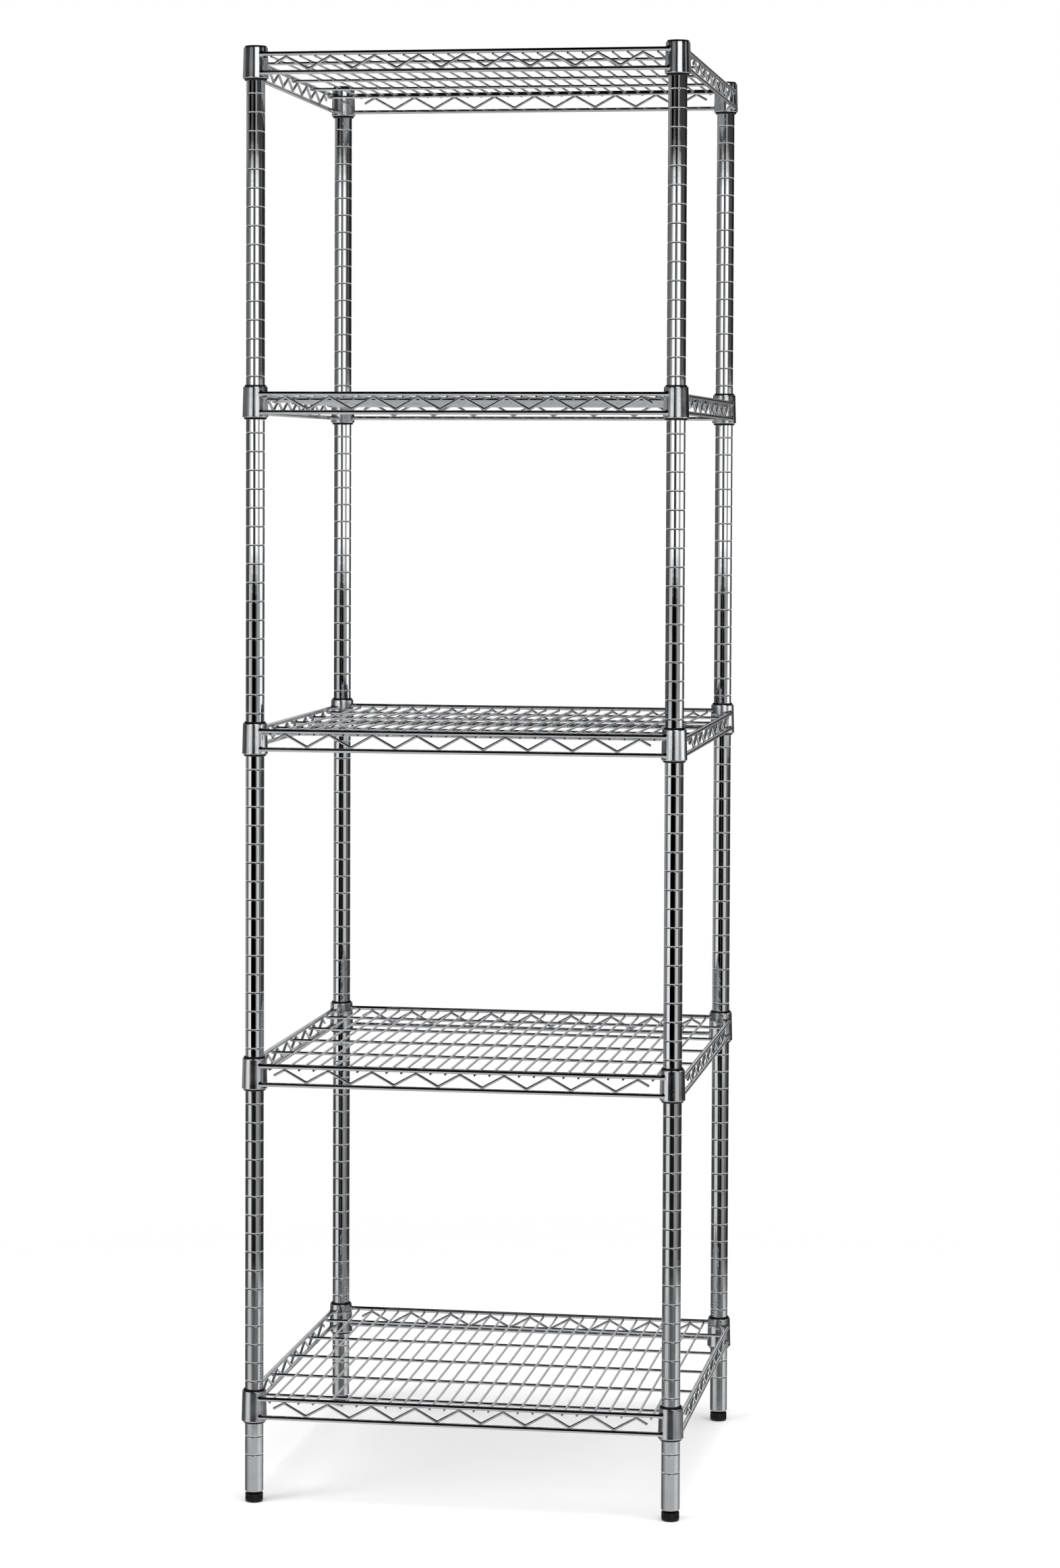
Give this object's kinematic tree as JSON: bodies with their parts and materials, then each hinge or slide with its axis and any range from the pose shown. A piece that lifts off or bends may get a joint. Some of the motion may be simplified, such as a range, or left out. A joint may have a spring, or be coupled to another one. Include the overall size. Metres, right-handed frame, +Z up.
{
  "type": "wire shelving rack",
  "caption": "Free-standing square rack of welded chrome wire shelves wedged on split sleeves along four grooved tubular posts with levelling feet.",
  "frame": {"origin": "on the floor, under the middle of the rack", "axes": "+Z up along the posts, -Y the front seen in the picture, +X to its right"},
  "size_m": [0.6096, 0.6096, 1.985],
  "materials": {
    "shelf_chrome": "bright chrome plate over welded steel wire, slightly wavy at the welds",
    "post_chrome": "bright chrome plate on rolled steel tube",
    "sleeve_plastic": "moulded black plastic, satin",
    "cap_plastic": "moulded black plastic, satin",
    "foot_plastic": "moulded black plastic, fine matt"
  },
  "bodies": {
    "frame": {"post_front_left": "post_chrome", "post_front_right": "post_chrome", "post_back_left": "post_chrome", "post_back_right": "post_chrome", "post_cap_front_left": "cap_plastic", "post_cap_front_right": "cap_plastic", "post_cap_back_left": "cap_plastic", "post_cap_back_right": "cap_plastic", "sleeve_1_front_left_outer": "sleeve_plastic", "sleeve_1_front_left_inner": "sleeve_plastic", "sleeve_1_front_right_outer": "sleeve_plastic", "sleeve_1_front_right_inner": "sleeve_plastic", "sleeve_1_back_left_outer": "sleeve_plastic", "sleeve_1_back_left_inner": "sleeve_plastic", "sleeve_1_back_right_outer": "sleeve_plastic", "sleeve_1_back_right_inner": "sleeve_plastic", "sleeve_2_front_left_outer": "sleeve_plastic", "sleeve_2_front_left_inner": "sleeve_plastic", "sleeve_2_front_right_outer": "sleeve_plastic", "sleeve_2_front_right_inner": "sleeve_plastic", "sleeve_2_back_left_outer": "sleeve_plastic", "sleeve_2_back_left_inner": "sleeve_plastic", "sleeve_2_back_right_outer": "sleeve_plastic", "sleeve_2_back_right_inner": "sleeve_plastic", "sleeve_3_front_left_outer": "sleeve_plastic", "sleeve_3_front_left_inner": "sleeve_plastic", "sleeve_3_front_right_outer": "sleeve_plastic", "sleeve_3_front_right_inner": "sleeve_plastic", "sleeve_3_back_left_outer": "sleeve_plastic", "sleeve_3_back_left_inner": "sleeve_plastic", "sleeve_3_back_right_outer": "sleeve_plastic", "sleeve_3_back_right_inner": "sleeve_plastic", "sleeve_4_front_left_outer": "sleeve_plastic", "sleeve_4_front_left_inner": "sleeve_plastic", "sleeve_4_front_right_outer": "sleeve_plastic", "sleeve_4_front_right_inner": "sleeve_plastic", "sleeve_4_back_left_outer": "sleeve_plastic", "sleeve_4_back_left_inner": "sleeve_plastic", "sleeve_4_back_right_outer": "sleeve_plastic", "sleeve_4_back_right_inner": "sleeve_plastic", "sleeve_5_front_left_outer": "sleeve_plastic", "sleeve_5_front_left_inner": "sleeve_plastic", "sleeve_5_front_right_outer": "sleeve_plastic", "sleeve_5_front_right_inner": "sleeve_plastic", "sleeve_5_back_left_outer": "sleeve_plastic", "sleeve_5_back_left_inner": "sleeve_plastic", "sleeve_5_back_right_outer": "sleeve_plastic", "sleeve_5_back_right_inner": "sleeve_plastic"},
    "tier_1": {"shelf_1": "shelf_chrome"},
    "tier_2": {"shelf_2": "shelf_chrome"},
    "tier_3": {"shelf_3": "shelf_chrome"},
    "tier_4": {"shelf_4": "shelf_chrome"},
    "tier_5": {"shelf_5": "shelf_chrome"},
    "foot_front_left": {"levelling_foot_front_left": "foot_plastic"},
    "foot_front_right": {"levelling_foot_front_right": "foot_plastic"},
    "foot_back_left": {"levelling_foot_back_left": "foot_plastic"},
    "foot_back_right": {"levelling_foot_back_right": "foot_plastic"}
  },
  "joints": [
    {"name": "tier_1_lift", "type": "slide", "parent": "frame", "child": "tier_1", "axis": [0, 0, 1], "range_m": [0, 0.4]},
    {"name": "tier_2_lift", "type": "slide", "parent": "frame", "child": "tier_2", "axis": [0, 0, 1], "range_m": [0, 0.4]},
    {"name": "tier_3_lift", "type": "slide", "parent": "frame", "child": "tier_3", "axis": [0, 0, 1], "range_m": [0, 0.4]},
    {"name": "tier_4_lift", "type": "slide", "parent": "frame", "child": "tier_4", "axis": [0, 0, 1], "range_m": [0, 0.4]},
    {"name": "tier_5_lift", "type": "slide", "parent": "frame", "child": "tier_5", "axis": [0, 0, 1], "range_m": [0, 0.04]},
    {"name": "foot_front_left_screw", "type": "slide", "parent": "frame", "child": "foot_front_left", "axis": [0, 0, -1], "range_m": [0, 0.02]},
    {"name": "foot_front_right_screw", "type": "slide", "parent": "frame", "child": "foot_front_right", "axis": [0, 0, -1], "range_m": [0, 0.02]},
    {"name": "foot_back_left_screw", "type": "slide", "parent": "frame", "child": "foot_back_left", "axis": [0, 0, -1], "range_m": [0, 0.02]},
    {"name": "foot_back_right_screw", "type": "slide", "parent": "frame", "child": "foot_back_right", "axis": [0, 0, -1], "range_m": [0, 0.02]}
  ]
}
